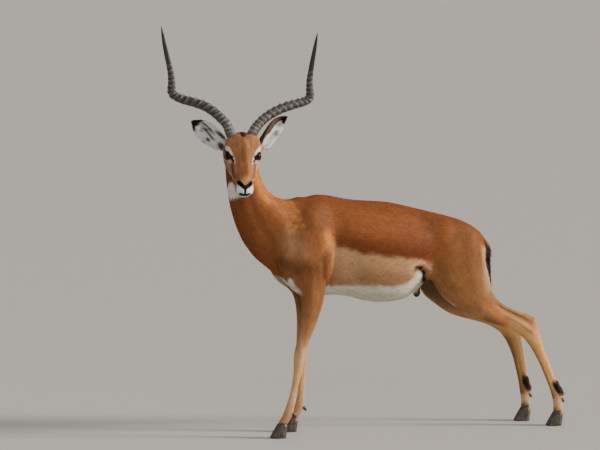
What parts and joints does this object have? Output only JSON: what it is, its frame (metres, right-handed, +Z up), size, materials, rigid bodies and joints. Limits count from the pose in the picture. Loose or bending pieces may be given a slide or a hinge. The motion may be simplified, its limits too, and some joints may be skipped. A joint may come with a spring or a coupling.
{
  "type": "impala antelope",
  "caption": "Life-size still model of an impala ram standing with its hind legs stretched back and its head turned to its left, with ringed lyre-shaped horns.",
  "frame": {"origin": "middle of the bounding box seen from above, on the ground under the hooves", "axes": "+X towards the tail, -X towards the forelegs, +Y towards the animal's right, -Y towards its left and its face, +Z up"},
  "size_m": [1.5379, 0.3404, 1.5368],
  "materials": {
    "rufous_coat": "short glossy red-brown hair, lying flat",
    "tan_coat": "short tan hair, lying flat",
    "white_coat": "white hair",
    "dark_skin": "bare dark grey skin",
    "horn": "ridged grey-brown horn, smooth at the tips",
    "hoof": "black horn, slightly worn",
    "eye": "wet, almost black"
  },
  "bodies": {
    "root": {"head": "rufous_coat", "eye_right": "eye", "horn_right": "horn", "ear_right": "white_coat", "eye_left": "eye", "horn_left": "horn", "ear_left": "white_coat", "trunk": "rufous_coat", "neck": "rufous_coat", "foreleg_right_shoulder": "rufous_coat", "foreleg_right_forearm": "tan_coat", "foreleg_right_cannon": "tan_coat", "foreleg_right_pastern": "tan_coat", "foreleg_right_hoof_inner": "hoof", "foreleg_right_dewclaw_inner": "hoof", "foreleg_right_hoof_outer": "hoof", "foreleg_right_dewclaw_outer": "hoof", "foreleg_left_shoulder": "rufous_coat", "foreleg_left_forearm": "tan_coat", "foreleg_left_cannon": "tan_coat", "foreleg_left_pastern": "tan_coat", "foreleg_left_hoof_outer": "hoof", "foreleg_left_dewclaw_outer": "hoof", "foreleg_left_hoof_inner": "hoof", "foreleg_left_dewclaw_inner": "hoof", "hindleg_right_thigh": "rufous_coat", "hindleg_right_gaskin": "tan_coat", "hindleg_right_cannon": "tan_coat", "hindleg_right_pastern": "tan_coat", "hindleg_right_hoof_inner": "hoof", "hindleg_right_dewclaw_inner": "hoof", "hindleg_right_hoof_outer": "hoof", "hindleg_right_dewclaw_outer": "hoof", "hindleg_left_thigh": "rufous_coat", "hindleg_left_gaskin": "tan_coat", "hindleg_left_cannon": "tan_coat", "hindleg_left_pastern": "tan_coat", "hindleg_left_hoof_outer": "hoof", "hindleg_left_dewclaw_outer": "hoof", "hindleg_left_hoof_inner": "hoof", "hindleg_left_dewclaw_inner": "hoof", "tail": "white_coat", "scrotum": "dark_skin"}
  },
  "joints": []
}
